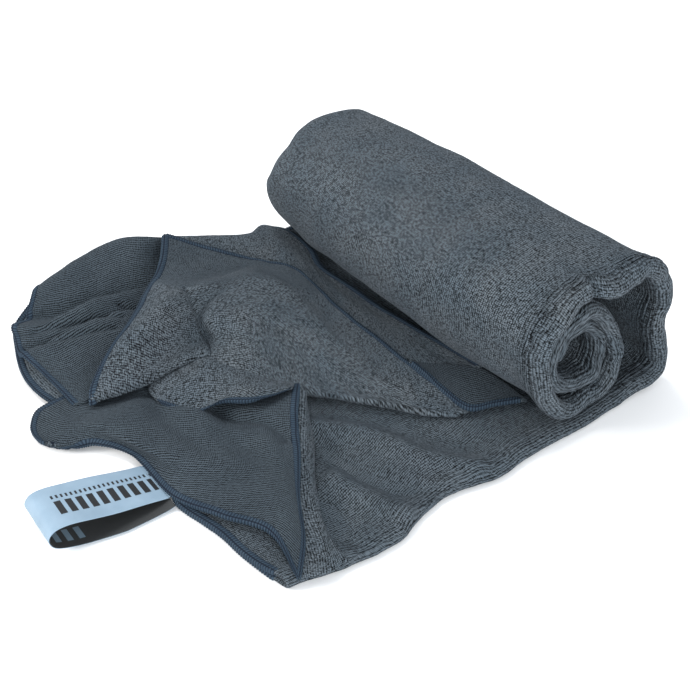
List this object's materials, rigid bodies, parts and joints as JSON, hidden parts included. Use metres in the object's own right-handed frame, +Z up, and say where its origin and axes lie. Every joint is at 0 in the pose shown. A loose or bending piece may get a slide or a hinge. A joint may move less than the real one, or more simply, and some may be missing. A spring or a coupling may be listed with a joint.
{
  "type": "quick dry towel",
  "caption": "Dark slate microfibre terry travel towel folded lengthwise, half of it rolled up and half crumpled loose, with bound navy hems and a ribbon hang loop.",
  "frame": {"origin": "on the resting plane, under the flat double layer, near the middle of the whole towel", "axes": "+X along the roll towards its open near end, +Y from the loose end of the cloth towards the roll, +Z up"},
  "size_m": [0.2804, 0.3465, 0.094],
  "materials": {
    "terry_cloth": "matt microfibre terry, short loops in fine rows",
    "hem_thread": "overlocked thread, slight sheen",
    "ribbon": "pale blue satin face, dark charcoal back"
  },
  "bodies": {
    "towel": {"rolled_outer_turn": "terry_cloth", "rolled_inner_coil": "terry_cloth", "laid_double_layer": "terry_cloth", "loose_front_corner": "terry_cloth", "upper_ply": "terry_cloth", "central_fold": "terry_cloth", "crumpled_left_side": "terry_cloth", "turned_corner": "terry_cloth", "small_flap": "terry_cloth", "hem_front_end": "hem_thread", "hem_second_ply": "hem_thread", "hem_turned_corner": "hem_thread", "hem_upper_ply": "hem_thread", "hem_under_roll": "hem_thread", "hem_beside_roll": "hem_thread", "hem_central_fold": "hem_thread", "hem_left_side": "hem_thread", "hem_front_corner": "hem_thread", "hem_small_flap": "hem_thread"},
    "hang_loop": {"hang_loop": "ribbon"}
  },
  "joints": [
    {"name": "loop_swing", "type": "hinge", "parent": "towel", "child": "hang_loop", "pos_m": [0.036, -0.1525, 0.0026], "axis": [-1, 0, 0], "range_deg": [0, 110]}
  ]
}
